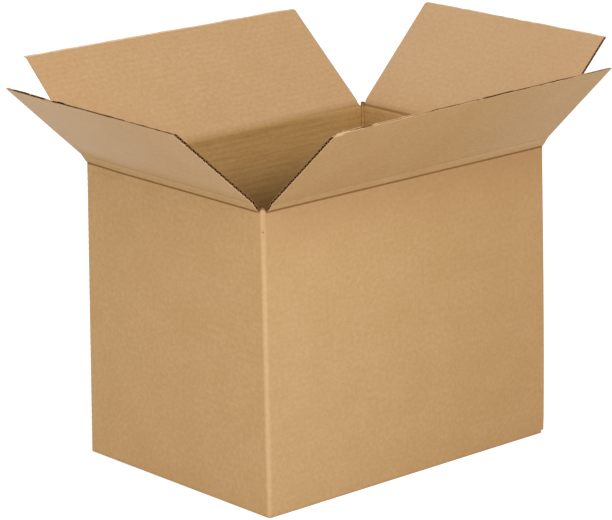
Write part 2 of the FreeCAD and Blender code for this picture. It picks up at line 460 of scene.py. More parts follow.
class Row:
    """A level line on the blank. Its section points are (in from the outer face, height)."""

    def __init__(self, kind, up, long_outer, long_inner, short_outer, short_inner):
        self.kind = kind            # "flap", "bend", "wall" or "top"
        self.up = up                # place on the unfolded blank, from the bottom fold
        self.outer = {"long": long_outer, "short": short_outer}
        self.inner = {"long": long_inner, "short": short_inner}


def wall_rows():
    """The level lines of the blank, from the edges of the bottom flaps to the tops of the tongues.
    The bottom flaps of the long walls lie outermost. Those of the short walls climb over them."""
    folds = settings().folds
    board = settings().board
    thick = board.thickness
    bend = folds.bottom_radius
    reach = folds.bottom_reach
    slot = folds.slot
    rows = []
    for place in (reach, reach * 0.75, reach * 0.5, reach * 0.25, 16 * MM):
        rows.append(Row("flap", -place, (place, 0), (place, thick), (place, thick), (place, 2 * thick)))
    climb = [
        (8.0, slot + 4 * MM, thick, slot + 3 * MM, 1.9 * thick),
        (5.0, slot + 0.4 * MM, 1.0 * thick, slot - 0.6 * MM, 1.55 * thick),
        (3.0, slot - 0.5 * MM, 0.55 * thick, slot - 1.9 * MM, 1.15 * thick),
    ]
    for place, under_in, under_up, over_in, over_up in climb:
        flat = bend + place * MM
        rows.append(Row("flap", -flat, (flat, 0), (flat, thick), (under_in, under_up), (over_in, over_up)))
    rows.append(Row("flap", -bend, (bend, 0), (bend, thick), (bend + 0.5 * MM, 0.6 * MM),
                    (bend - 0.5 * MM, 0.9 * thick)))
    for turned in (72, 50, 25):
        angle = math.radians(turned)
        out_in = folds.bottom_crisp * (1 - math.cos(angle))
        out_up = folds.bottom_crisp * (1 - math.sin(angle))
        in_in = bend - (bend - thick) * math.cos(angle)
        in_up = bend - (bend - thick) * math.sin(angle)
        short_in = thick * (0.72 + 0.12 * math.cos(angle))
        short_up = bend + 2.5 * MM - (bend - 0.2 * MM) * math.sin(angle)
        lift = 0.25 * MM
        rows.append(Row("bend", out_up, (out_in, out_up), (in_in, in_up), (out_in, out_up + lift),
                        (short_in, short_up)))
    seam = CREASE - folds.seam_drop
    low = bend
    for height in spread([low, low + 6 * MM, seam], board.pitch / 6):
        rows.append(Row("wall", height, (0, height), (thick, height), (0, height), (thick, height)))
    for share in (0.25, 0.5, 0.75, 0.9, 1.0):
        rows.append(Row("top", seam + share * folds.seam_drop, (0, share), (thick, share), (0, share),
                        (thick, share)))
    return rows


def in_fold(column, ends):
    """Whether a line runs between the ends of its wall's creases."""
    if column.side not in ends:
        return False
    low, high = ends[column.side]
    return low - 1e-6 <= column.lane <= high + 1e-6


def tongue_height(column, ends):
    """How high a line runs in a corner, between two slots."""
    folds = settings().folds
    floor = CREASE - folds.notch
    at_start = column.lane < 0
    if column.side == "back" and at_start or column.after == "right" and column.bend > 0.5:
        floor = CREASE - folds.deep_notch
    if column.after == "left" or (column.side, at_start) in (("left", False), ("front", True)):
        floor = CREASE + folds.near_notch
    if column.bend is None:
        return floor
    middle = 1 - abs(2 * column.bend - 1)
    side = float(smoothstep(0.1, 0.24, middle))
    dome = math.sqrt(1 - (1 - middle) ** 2)
    shoulder = CREASE + 1.2 * MM
    change = {"left": folds.tongue_rise, "right": -folds.tongue_fall}.get(column.after, 0.0)
    top = TONGUE_TOP - 0.2 * MM + change
    return floor + side * (shoulder - floor) + side * dome * (top - shoulder)


def ripple(up, pitch):
    """The flutes' height along the board, from -1 to 1."""
    return np.cos(2 * math.pi * np.asarray(up) / pitch)


def folded_blank(columns, depths, rows):
    """Outer and inner skin of the folded blank, as a point for each column and row."""
    sizes = settings()
    folds = sizes.folds
    board = sizes.board
    ends = crease_ends()
    seam = CREASE - folds.seam_drop
    low_fade = 12 * MM              # the flutes stop showing towards the bottom fold and the seam
    high_fade = 6 * MM
    shape = (len(columns), len(rows), 3)
    outer = np.zeros(shape)
    inner = np.zeros(shape)
    for i, column in enumerate(columns):
        kind = "short" if column.side in ("left", "right") else "long"
        top = tongue_height(column, ends)
        for j, row in enumerate(rows):
            out_in, out_up = row.outer[kind]
            in_in, in_up = row.inner[kind]
            if column.bend is not None and row.kind == "bend":
                in_in, in_up = out_in + depths[i], out_up
            if row.kind == "wall":
                wave = float(ripple(row.up, board.pitch))
                fade = smoothstep(0, low_fade, row.up) * float(smoothstep(0, high_fade, seam - row.up))
                in_in = depths[i] + board.inner_ripple * wave * fade
                out_in = board.outer_ripple * wave * fade
                if column.bend is not None:
                    middle = 1 - abs(2 * column.bend - 1)
                    out_in = folds.corner_bump * (0.5 + 0.5 * wave) * middle * fade
                if column.side == "tab":
                    out_up = in_up = tab_height(column, row.up)
            if row.kind == "top":
                out_up = in_up = seam + row.outer[kind][1] * (top - seam)
                in_in = depths[i]
            if column.side == "tab":
                out_in += 0.05 * MM
            for grid, inward, height in ((outer, out_in, out_up), (inner, in_in, in_up)):
                x = column.x + column.inward[0] * inward
                y = column.y + column.inward[1] * inward
                grid[i, j] = (x, y, height)
    return skewed(outer), skewed(inner)


def tab_span():
    """How low and how high the glued tab reaches at its fold."""
    return 2 * settings().board.thickness + 4 * MM, CREASE - 9.7 * MM


def tab_height(column, up):
    """Height of a point of the glued tab, whose ends slope off towards its free edge."""
    low, high = tab_span()
    steepest = 9 * MM
    free = 1 - column.along / settings().folds.tab
    taper = steepest * max(0.0, free)
    share = np.clip((up - low) / (high - low), 0, 1)
    return low + taper + share * (high - low - 2 * taper)


# How far the front right corner leans in, in millimetres, at heights in millimetres
CORNER_BOW = ((0, 0.4), (20, -0.3), (50, -0.6), (100, -0.6), (140, -0.35), (190, 0.1), (230, 0.65),
              (260, 1.15), (290, 1.7), (320, 2.2), (345, 2.6), (362, 2.75))


def skewed(points):
    """Pushes two bottom corners out, less and less towards the other corners and the top, and lets
    the top of the front right corner lean in."""
    folds = settings().folds
    left = np.clip((HALF_LENGTH - points[..., 0]) / (2 * HALF_LENGTH), 0, 1)
    back = np.clip((HALF_WIDTH + points[..., 1]) / (2 * HALF_WIDTH), 0, 1)
    low = np.clip(1 - points[..., 2] / CREASE, 0, 1)
    width = folds.slot + settings().board.thickness
    beside = smoothstep(HALF_LENGTH - folds.slot, HALF_LENGTH - folds.raw_end, points[..., 0])
    behind = smoothstep(width, 0.0, HALF_WIDTH + points[..., 1])
    bow = np.interp(points[..., 2], [height * MM for height, inwards in CORNER_BOW],
                    [inwards * MM for height, inwards in CORNER_BOW])
    tuck = 0.75 * folds.kick * (1 - left) * (1 - back)
    points[..., 0] -= (folds.skew * left * back + tuck) * low + bow * beside * behind
    points[..., 1] += folds.warp * left * back * low - folds.kick * (1 - left) * (1 - back) * low
    points[..., 2] += folds.warp * left * back * low
    return points


def sideways(shift, side):
    """A move along a wall for each point."""
    still = np.zeros_like(shift)
    return facing(np.stack([shift, still, still], axis=-1), side)


def blank_cells(columns, rows):
    """Which cells of the blank's grid are board. Slots and the space beside the tab are left out."""
    ends = crease_ends()
    tab_low, tab_high = tab_span()
    cells = np.zeros((len(columns) - 1, len(rows) - 1), bool)
    for i, (left, right) in enumerate(zip(columns, columns[1:])):
        folded = in_fold(left, ends) and in_fold(right, ends)
        tab = left.side == "tab" and right.side == "tab"
        for j, (low, high) in enumerate(zip(rows, rows[1:])):
            kinds = (low.kind, high.kind)
            if folded:
                cells[i, j] = "top" not in kinds
            elif tab:
                cells[i, j] = kinds == ("wall", "wall") and low.up >= tab_low and high.up <= tab_high
            else:
                cells[i, j] = "flap" not in kinds
    return cells


# The top flaps

# Stretches of each flap's outer edge, as shares of it from the left, where the liners stand apart,
# and how far, as a share of the widest slit
SLITS = {
    "right": ((0.05, 0.4, 0.3), (0.5, 0.95, 0.3)),
    "back": ((0.05, 0.3, 0.3), (0.4, 0.9, 0.3)),
    "left": ((0.05, 0.1, 0.35), (0.1, 0.147, 0.7), (0.158, 0.2, 0.6), (0.2, 0.24, 0.9), (0.29, 0.325, 0.4),
             (0.325, 0.36, 0.75), (0.36, 0.72, 0.45), (0.745, 1.0, 0.35)),
    "front": ((0.03, 0.1, 0.25), (0.33, 0.44, 0.35), (0.45, 0.5, 0.3), (0.52, 0.63, 0.7), (0.63, 0.86, 0.4),
              (0.9, 1.0, 0.2)),
}


# How far, in millimetres, each flap's left edge and right edge are drawn in from the ends of its
# crease: at the crease, half way up and at the outer edge. Below zero, the flap is wider than that.
SIDE_GAPS = {
    "right": ((0.4, -2.6, -2.8), (-0.5, -2.9, -5.3)),
    "back": ((3.8, 3.2, 2.4), (-2.0, -4.0, -3.2)),
    "left": ((-4.4, -2.6, 0.4), (2.6, 3.1, 3.2)),
    "front": ((2.8, 2.8, 3.0), (-3.6, -2.6, -2.3)),
}


def uneven(count, random, step):
    """A line of small steps and slopes, from 0 to 1, as a worn die leaves a cut edge."""
    values = np.zeros(count)
    place = 0
    while place < count:
        run = int(random.integers(2, step))
        values[place:place + run] = random.random()
        place += run
    blurred = np.convolve(np.pad(values, 1, mode="edge"), (0.2, 0.6, 0.2), mode="valid")
    return blurred + 0.15 * random.random(count)


class Flap:
    """Works out where the board of one top flap lies, from the wall below its crease to its edge."""

    def __init__(self, side):
        sizes = settings().flaps
        self.side = side
        self.band = getattr(sizes, side + "_band")
        self.lean = getattr(sizes, side + "_lean")
        self.twist = getattr(sizes, side + "_twist")
        self.widening = sizes.front_widening if side == "front" else 0.0
        self.depth = getattr(sizes, side + "_depth")
        low, high = crease_ends()[side]
        self.start = low
        self.end = high

    def lanes(self, step):
        """Places along the crease, from end to end."""
        return spread([self.start, self.end], step)

    def section(self, ups, lanes):
        """Distance out, height and lean of the outer face for each lane and distance up the board."""
        sizes = settings().flaps
        step = 0.25 * MM
        fine = np.arange(-settings().folds.seam_drop, self.depth + 4 * step, step)
        share = (lanes - (self.start + self.end) / 2) / (self.end - self.start)
        final = self.lean + share * self.twist
        band = (sizes.band + share * self.widening)[:, None]
        bend = smoothstep(-1.0 * MM, 1.0 * MM, fine)[None, :] * self.band
        second = smoothstep(-3 * MM, 3 * MM, fine[None, :] - band)
        lean = bend + second * (final[:, None] - self.band)
        out = (np.cumsum(np.sin(lean), axis=1) - np.sin(lean)) * step
        height = fine[0] + (np.cumsum(np.cos(lean), axis=1) - np.cos(lean)) * step
        return [np.stack([np.interp(ups, fine, row) for row in grid]) for grid in (out, height, lean)]

    def rise(self, lanes):
        """How far the crease runs up off the level."""
        rise = settings().flaps.left_rise * (self.side == "left")
        return rise * smoothstep(75 * MM, -20 * MM, lanes - self.start)

    def thickness(self, ups):
        """Thickness of the board: crushed at the crease, full again past the second score."""
        board = settings().board
        crushed_below = 6 * MM
        crushed_above = 5 * MM
        full = smoothstep(0, np.where(ups < 0, -crushed_below, crushed_above), ups)
        return board.crushed + (board.thickness - board.crushed) * full

    def place(self, ups, lanes, depth):
        """Points at a depth under the outer face, for each lane and distance up the board."""
        out, height, lean = self.section(ups, lanes)
        out = out - depth * np.cos(lean)
        rise = self.rise(lanes)[:, None] * smoothstep(-7 * MM, 0, ups)[None, :]
        height = height + depth * np.sin(lean) + rise
        x = np.broadcast_to(lanes[:, None], out.shape)
        return facing(np.stack([x, -(REACHES[self.side] + out), CREASE + height], axis=-1), self.side)


# Where a flap's rows lie beside its crease, in millimetres from it
BESIDE_CREASE = (0.2, 0.5, 0.9, 1.4, 2.0, 3.0, 5.0)

# Distance between a liner's lanes along the crease
LANE_STEP = 3.2 * MM


def flap_rows(flap):
    """Distances up the board of a flap piece, close together at its bends."""
    sizes = settings()
    beside = [step * MM for step in BESIDE_CREASE]
    fine = [-sizes.folds.seam_drop] + [-step for step in reversed(beside)] + [0.0] + beside
    scored = [sizes.flaps.band + step * MM for step in (-2, -1, 0, 1, 2)]
    last = flap.depth
    return np.concatenate([fine, spread([fine[-1], scored[0]], 2 * MM)[1:], scored[1:],
                           spread([scored[-1], last - 3 * MM, last], sizes.board.pitch / 4)[1:]])


def liner(shell, flap, outermost, edge, slit, finish, along):
    """Adds one liner of a flap to its mesh. The cutting knife has pressed the liners together along
    the outer edge, apart from the slit that is left between them."""
    sizes = settings()
    board = sizes.board
    ups = flap_rows(flap)
    lanes = flap.lanes(LANE_STEP)
    reach = np.where(ups > 0, ups / flap.depth, 0)[None, :]
    drawn_from = 0.93               # the unevenness of the edge fades out from it down to here
    pull = smoothstep(drawn_from, 1.0, reach) * edge[:, None]
    pressed = edge_press(flap, lanes, ups)
    closed = 2 * board.liner + slit[:, None]
    thick = flap.thickness(ups)[None, :]
    thick = thick + pressed * (closed - thick)
    shut = end_press(flap, lanes)[:, None]
    top_shift = shut * (thick - 2 * board.liner)
    fade = smoothstep(2 * MM, sizes.flaps.band, ups)[None, :]
    wave = ripple(ups, board.pitch)[None, :] * fade
    groove_width = 0.8 * MM
    second_width = 0.9 * MM
    second_depth = 0.25 * MM
    groove = sizes.flaps.groove * np.exp(-(ups / groove_width) ** 2)[None, :]
    second = second_depth * np.exp(-((ups - sizes.flaps.band) / second_width) ** 2)[None, :]
    if outermost:
        top = groove + second + board.outer_ripple * wave + top_shift
        bottom = top + board.liner
    else:
        bottom = thick - 0.5 * groove + board.inner_ripple * wave
        top = bottom - board.liner
    placed = [flap.place(ups, lanes, depth) for depth in (top, bottom)]
    lean = flap.section(ups, lanes)[2]
    slide = np.stack([np.zeros_like(lean), -np.sin(lean), np.cos(lean)], axis=-1)
    slide = facing(slide, flap.side) * -pull[..., None]
    ends = side_gap(flap, lanes, ups)
    shell.add(placed[0] + slide + ends, placed[1] + slide + ends,
              (along + lanes - lanes[0])[:, None], CREASE + ups[None, :] - pull, finish=finish)


def edge_press(flap, lanes, ups):
    """1 along the outer edge of a flap, where its liners are pressed together, and 0 elsewhere. At the
    front flap's torn corner the pressed strip is wider."""
    early = 7 * MM * smoothstep(12 * MM, 6 * MM, lanes - flap.start) * (flap.side == "front")
    to_edge = flap.depth - ups[None, :] - early[:, None]
    return smoothstep(-4 * MM, -0.8 * MM, -to_edge)


def end_press(flap, lanes):
    """1 where a slot's knife has pressed the liners of a flap together, which is the back flap's
    right edge as it is seen from outside, and 0 elsewhere."""
    return (1 - smoothstep(0.5 * MM, 6 * MM, flap.end - lanes)) * (flap.side == "back")


def side_gap(flap, lanes, ups):
    """How far the side edges of a flap are drawn in from the ends of its crease. The lanes beside an
    edge move with it, less and less over a width of 40 mm."""
    width = 40 * MM
    left, right = [np.interp(ups / flap.depth, (0, 0.5, 1), gaps) * MM for gaps in SIDE_GAPS[flap.side]]
    at_left = np.clip(1 - (lanes - lanes[0]) / width, 0, 1)[:, None]
    at_right = np.clip(1 - (lanes[-1] - lanes) / width, 0, 1)[:, None]
    shift = at_left * left[None, :] - at_right * right[None, :]
    return sideways(shift * smoothstep(-3.5 * MM, 1.5 * MM, ups)[None, :], flap.side)


def medium(shell, flap, along):
    """Adds the fluted sheet between the liners of a flap."""
    sizes = settings()
    board = sizes.board
    ups = spread([-sizes.folds.seam_drop, flap.depth - 4 * MM], board.pitch / 12)
    into = 2.5 * MM
    stops = [flap.start, flap.start + into, flap.start + 13 * MM, flap.end - into, flap.end]
    lanes = spread(stops, 36 * MM)
    shut = end_press(flap, lanes)[:, None]
    pressed = edge_press(flap, lanes, ups)
    flat = np.maximum(shut, pressed)
    thick = flap.thickness(ups)[None, :]
    thick = thick + pressed * (2 * board.liner - thick)
    room = np.maximum((thick - 2 * board.liner - board.medium) / 2, 0.0) * (1 - flat)
    wave = ripple(ups, board.pitch)[None, :]
    middle = thick * (0.5 + 0.5 * shut) - shut * board.liner + room * wave
    at_left = (lanes == lanes[0]).astype(float)[:, None]
    at_right = (lanes == lanes[-1]).astype(float)[:, None]
    half = board.medium / 2 + board.smear / 2 * (at_left + at_right) * (1 - wave ** 2)
    half = half * (1 - 0.9 * flat)
    inset = np.broadcast_to(0.25 * MM * (at_left - at_right), half.shape)
    ends = side_gap(flap, lanes, ups) + sideways(inset, flap.side)
    outer, inner = [flap.place(ups, lanes, depth) + ends for depth in (middle - half, middle + half)]
    places = (along + lanes - lanes[0])[:, None]
    shell.add(outer, inner, places, (CREASE + ups)[None, :], finish=(3, 3, 2, 5))


class TopFlaps(bpy.types.Operator):
    """Makes the four top flaps, each with its liners, its flutes and the fold that it swings on"""
    bl_idname = "box.top_flaps"
    bl_label = "Top flaps"

    def execute(self, context):
        sizes = settings()
        starts = wall_starts()
        for number, side in enumerate(TURNS):
            random = np.random.default_rng(sizes.stage.seed + number)
            flap = Flap(side)
            count = len(flap.lanes(LANE_STEP))
            shares = np.linspace(0, 1, count)
            slit = np.zeros(count)
            for low, high, gap in SLITS[side]:
                slit = np.where((shares >= low) & (shares <= high), gap * sizes.flaps.slit, slit)
            slit = slit * (0.55 + 0.45 * uneven(count, random, 5))
            shell = Shell()
            outline = sizes.flaps.ragged * uneven(count, random, 7)
            if side == "front":
                torn = smoothstep(0.3, 0.22, shares)
                patch = smoothstep(0.05, 0.03, shares)
                ragged = 1 + 3 * torn * (1 - patch)
                outline = outline * ragged - torn * 1.2 * MM - patch * 0.3 * MM
            if side == "left":
                outline = outline + sizes.flaps.left_trim * smoothstep(0.6, 0.0, shares)
            apart = np.where(slit > 0, sizes.flaps.ragged * uneven(count, random, 7), outline)
            for outermost, finish in ((True, (0, 3, 2, 4)), (False, (3, 1, 2, 2))):
                edge = outline if outermost else apart
                liner(shell, flap, outermost, edge, slit, finish, starts[side])
            medium(shell, flap, starts[side])
            piece = shell.make(side + "_top_flap", board_finishes())
            self.hinge(piece, side)
        return {"FINISHED"}

    def hinge(self, piece, side):
        """Hides the frame's flap and bakes the piece's place into its mesh."""
        zone = settings().flaps.fold_zone / 2
        half_lean = getattr(settings().flaps, side + "_band") / 2
        way = facing(np.array([0.0, -math.sin(half_lean), math.cos(half_lean)]), side)
        way = Vector(way.tolist()) * zone
        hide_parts(side + "_flap")
        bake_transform(piece)


def wall_starts():
    """Place of the start of each wall's crease on the unfolded blank."""
    ends = crease_ends()
    starts = {}
    for column in blank_columns():
        if column.side in ends and column.side not in starts and in_fold(column, ends):
            starts[column.side] = column.along
    return starts


class RawEnd(bpy.types.Operator):
    """Opens the flutes at the cut end of the blank, where the front wall laps over its tab"""
    bl_idname = "box.raw_end"
    bl_label = "Raw end"

    def execute(self, context):
        sizes = settings()
        board = sizes.board
        folds = sizes.folds
        first = HALF_LENGTH - folds.raw_end - folds.open_end
        last = HALF_LENGTH - folds.raw_end
        low = folds.bottom_radius
        high = CREASE + 1.0 * MM
        lanes = np.array([first, last])
        along = blank_columns()[-1].along + lanes - first
        ups = spread([low, high], board.pitch / 12)
        room = (board.thickness - 2 * board.liner - board.medium) / 2
        wave = ripple(ups, board.pitch)
        middle = board.thickness / 2 + room * wave
        half = board.medium / 2 + board.smear / 4 * (1 - wave ** 2)
        level = np.ones_like(ups)
        layers = (
            (level * 0, level * board.liner, (0, 3, 2, 4)),
            (middle - half, middle + half, (3, 3, 2, 5)),
            (level * (board.thickness - board.liner), level * board.thickness, (3, 1, 2, 2)),
        )
        shell = Shell()
        for top, bottom, finish in layers:
            skins = []
            for depth in (top, bottom):
                x, z = np.broadcast_arrays(lanes[:, None], ups[None, :])
                y = np.broadcast_to(depth[None, :] - HALF_WIDTH, x.shape)
                skins.append(skewed(np.stack([x, y, z], axis=-1)))
            shell.add(skins[0], skins[1], along[:, None], ups[None, :], finish=finish)
        piece = shell.make("raw_end", board_finishes())
        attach(piece, "box")
        return {"FINISHED"}


# Finishes

class Socket:
    """The output of a shader node, which takes part in sums as a number would."""

    def __init__(self, shader, socket):
        self.shader = shader
        self.socket = socket

    def math(self, operation, first, second):
        return self.shader.node("ShaderNodeMath", {"operation": operation}, {0: first, 1: second})

    def __add__(self, other):
        return self.math("ADD", self, other)

    __radd__ = __add__

    def __sub__(self, other):
        return self.math("SUBTRACT", self, other)

    def __rsub__(self, other):
        return self.math("SUBTRACT", other, self)

    def __mul__(self, other):
        return self.math("MULTIPLY", self, other)

    __rmul__ = __mul__

    def __truediv__(self, other):
        return self.math("DIVIDE", self, other)

    def __abs__(self):
        return self.math("ABSOLUTE", self, 0.0)

    def least(self, other):
        return self.math("MINIMUM", self, other)


class Shader:
    """The nodes of a material or a world."""

    def __init__(self, owner):
        owner.use_nodes = True
        self.owner = owner
        self.tree = owner.node_tree
        self.tree.nodes.clear()

    def node(self, kind, settings=None, values=None, output=0):
        """Adds a node of a kind, with its settings and then its sockets' values or links."""
        made = self.tree.nodes.new(kind)
        for name, value in (settings or {}).items():
            if name == "stops":
                ramp = made.color_ramp.elements
                while len(ramp) < len(value):
                    ramp.new(0.5)
                for element, (position, level) in zip(ramp, value):
                    element.position = position
                    element.color = (level, level, level, 1)
            else:
                setattr(made, name, value)
        for name, value in (values or {}).items():
            if isinstance(value, Socket):
                self.tree.links.new(value.socket, made.inputs[name])
            else:
                made.inputs[name].default_value = value
        return Socket(self, made.outputs[output]) if len(made.outputs) else None

    def mix(self, share, first, second, blend="MIX"):
        """A colour between two colours."""
        return self.node("ShaderNodeMix", {"data_type": "RGBA", "blend_type": blend},
                         {0: share, 6: first, 7: second}, output=2)

    def noise(self, place, scale, detail=2.0, roughness=0.5, stretch=None):
        """Cloudy noise from 0 to 1. scale is the number of blobs in a metre."""
        if stretch is not None:
            place = self.node("ShaderNodeVectorMath", {"operation": "MULTIPLY"}, {0: place, 1: stretch})
        return self.node("ShaderNodeTexNoise", {"noise_dimensions": "3D"},
                         {"Vector": place, "Scale": scale, "Detail": detail, "Roughness": roughness})

    def ramp(self, value, low, high):
        """0 up to low, 1 from high on, and a smooth rise in between."""
        return self.node("ShaderNodeMapRange", {"interpolation_type": "SMOOTHSTEP"},
                         {"Value": value, "From Min": low, "From Max": high})

    def finish(self, base, roughness, height, strength, distance, shine=0.25):
        """Joins colour, roughness and height to the surface."""
        normal = self.node("ShaderNodeBump", {},
                           {"Strength": strength, "Distance": distance, "Height": height})
        surface = self.node("ShaderNodeBsdfPrincipled", {},
                            {"Base Color": base, "Roughness": roughness, "Normal": normal,
                             "Specular IOR Level": shine})
        self.node("ShaderNodeOutputMaterial", {}, {"Surface": surface})
        return self.owner


def linear(value):
    """A screen colour as the light that it stands for."""
    light = [part / 12.92 if part <= 0.04045 else ((part + 0.055) / 1.055) ** 2.4 for part in value]
    return (*light, 1.0)


def corner_places():
    """Places of the middles of the four corner folds on the unfolded blank."""
    return [column.along for column in blank_columns() if column.bend == 0.5]


# How strongly each mark shows on a liner, from 0 to 1
MARKS = {
    "dark fibres": 0.16,
    "outer flutes": 0.02,
    "inner flutes": 0.07,
    "rubbed and lit corner": 0.22,
    "faded left flap": 0.1,
    "lit front wall": 0.1,
    "shade under the front flap": 0.3,
    "shade on the far front wall": 0.2,
    "faded front flap": 0.1,
    "speck": 0.8,
    "second score": 0.22,
    "crushed and shaded tongue": 0.7,
    "bead": 0.8,
    "beside the bead": 0.55,
    "stretched liner": 0.08,
    "faded right flap": 0.05,
    "shade at the near end of the right flap": 0.2,
    "brown lines": 0.2,
    "deep inside": 1.0,
    "under the flaps": 0.26,
    "crease": 1.0,
    "torn edge": 0.92,
}


class Liner:
    """The material of a kraft liner in the making: where a point lies on the blank, how far it is
    from the nearest corner fold and above the creases, and the liner's colour so far."""

    def __init__(self, name, base):
        self.shader = Shader(bpy.data.materials.new(name))
        self.place = self.shader.node("ShaderNodeTexCoord", output=2)
        self.along, up = [self.shader.node("ShaderNodeSeparateXYZ", {}, {0: self.place}, output=axis)
                          for axis in (0, 1)]
        self.above = up - CREASE
        phase = up * (2 * math.pi / settings().board.pitch)
        self.flute = self.shader.node("ShaderNodeMath", {"operation": "COSINE"}, {0: phase})
        starts = wall_starts()
        self.from_left = self.along - starts["left"]
        self.from_front = self.along - starts["front"]
        self.front_right, self.back_right, *others = [self.along - middle for middle in corner_places()]
        self.near_corner = others[-1]
        self.corner = abs(self.front_right).least(abs(self.back_right))
        for gap in others:
            self.corner = self.corner.least(abs(gap))
        self.tone = linear(base)

    def ramp(self, value, low, high):
        """0 up to low, 1 from high on, and a smooth rise in between, for stops in millimetres."""
        return self.shader.ramp(value, low * MM, high * MM)

    def tint(self, mark, share, paint, blend="MIX"):
        """Mixes a colour in where a mark shows."""
        self.tone = self.shader.mix(share * MARKS[mark], self.tone, linear(paint), blend)


def outside_marks(liner, fibres):
    """Rubbed corners with a painted highlight, flaps paled by painted sheen and light, and painted light
    and shade on the outer liner.
    """
    colours = settings().colours
    flaps = settings().flaps
    slot = settings().folds.slot
    above = liner.above
    # Paler round each corner fold: partly rubbed wear, partly a painted highlight on the rounding.
    liner.tint("rubbed and lit corner", liner.ramp(liner.corner + fibres * (3 * MM), 7, 1.5), colours.pale_fibre_and_highlight)
    left_end = 2 * (HALF_WIDTH - slot) / MM
    on_left = liner.ramp(liner.from_left, -1, 0) * liner.ramp(liner.from_left, left_end + 1, left_end)
    # Painted sheen on the left flap, stronger towards its far end.
    far_left = liner.ramp(liner.from_left, 260, 20)
    liner.tint("faded left flap", on_left * liner.ramp(above, 2, 40) * (far_left * 1.3 + 1), colours.paled)
    on_front = liner.ramp(liner.from_front, -9, -4)
    lit = liner.ramp(liner.from_front, 330, 0) * on_front * liner.ramp(above, 1, -1)
    liner.tint("lit front wall", lit, colours.pale_fibre_and_highlight)
    # Painted shade on the front wall just under the front flap's overhang.
    overhung = on_front * liner.ramp(above, -80, -5) * liner.ramp(above, 1, 0)
    liner.tint("shade under the front flap", overhung, colours.dark_fibre_and_shade)
    # Painted shade towards the far end of the front wall.
    far_wall = liner.ramp(liner.from_front, 120, 430) * liner.ramp(above, 0, -3)
    liner.tint("shade on the far front wall", far_wall, colours.dark_fibre_and_shade)
    # Painted light: the front flap is paler towards its far end.
    far_flap = liner.ramp(liner.from_front, 220, 430) * liner.ramp(above, 0, 15)
    liner.tint("faded front flap", far_flap, colours.paled)
    speck = abs(liner.near_corner) + abs(above + 22.6 * MM)
    liner.tint("speck", liner.ramp(speck, 2, 0.6), colours.crease)
    liner.tint("crease", liner.ramp(abs(above), 2, 0.5) * 0.88, colours.crease)
    front_length = 2 * (HALF_LENGTH - slot)
    across = liner.from_front / front_length - 0.5
    widening = across * flaps.front_widening * liner.ramp(liner.from_front, -2, -1)
    second = liner.ramp(abs(above - flaps.band - widening), 1.4, 0.2)
    liner.tint("second score", second, colours.crease)


def inside_marks(liner):
    """Beads in the corners, a painted sheen on the right flap, and painted shade deep inside, under the
    flaps and at the tongues on the inner liner.
    """
    colours = settings().colours
    shader = liner.shader
    above = liner.above
    # The inside of each tongue, mixed towards the medium's dark colour: crushed liner and painted shade.
    tongue = liner.ramp(liner.corner, 4.4, 3.8) * liner.ramp(above, -2, 0.5)
    liner.tint("crushed and shaded tongue", tongue, colours.medium)
    under = liner.ramp(above, -1, -4)
    liner.tint("bead", liner.ramp(liner.corner, 3.5, 2.8) * under, colours.bead)
    beside = liner.ramp(abs(liner.corner - 4.4 * MM), 1.1, 0.4) * under
    liner.tint("beside the bead", beside, colours.crease)
    on_right = liner.ramp(liner.back_right, 2, -2) * liner.ramp(liner.front_right, -2, 2)
    near_back = liner.ramp(abs(liner.back_right), 150, 20)
    # Painted highlight: a lighter band under the back crease, where the crushed board slopes towards the
    # light.
    lightened = liner.ramp(abs(above + 7 * MM), 4, 1.5) * near_back
    liner.tint("stretched liner", lightened, colours.pale_fibre_and_highlight)
    # Painted sheen on the inside of the right flap.
    liner.tint("faded right flap", on_right * liner.ramp(above, 2, 30), colours.paled)
    # Painted shade on the right flap towards its near end.
    near_end = liner.ramp(abs(liner.front_right), 270, 20) * on_right * liner.ramp(above, 0, 10)
    liner.tint("shade at the near end of the right flap", near_end, colours.dark_fibre_and_shade)
    lines = shader.noise(liner.place, 330.0, 3.0, 0.6, stretch=(0.06, 1.0, 1.0))
    liner.tint("brown lines", shader.ramp(lines, 0.58, 0.3) * under, colours.crease)
    liner.tint("deep inside", liner.ramp(above, -30, -130), colours.shade, "MULTIPLY")
    # Painted shade on the inner walls just under the creases, away from the back corner.
    under_flaps = liner.ramp(above, -16, -3) * under * (1 - near_back)
    liner.tint("under the flaps", under_flaps, colours.shade, "MULTIPLY")
    # How strongly the inner crease line shows on each wall.
    line_strength = 0.03 + on_right * 0.62 + near_back * (1 - on_right) * 0.14
    liner.tint("crease", liner.ramp(abs(above + 1.3 * MM), 2, 0.5) * line_strength, colours.crease)


def torn_edge(liner, fibres, blobs):
    """The pale rim of each flap's outer edge, which is wide and torn at the near corner."""
    starting = liner.ramp(liner.from_front, -1, 0)
    torn = liner.ramp(liner.from_front + fibres * (30 * MM), 150, 90) * starting
    patch = liner.ramp(liner.from_front + blobs * (8 * MM), 20, 15) * starting
    width = torn * (1.6 * MM) + patch * (4.5 * MM) + 0.7 * MM
    past = liner.above - settings().flaps.front_depth + blobs * (3.0 * MM) - 1.0 * MM + width
    liner.tint("torn edge", liner.ramp(past, -0.4, 0.6), settings().colours.pale_fibre_and_highlight)


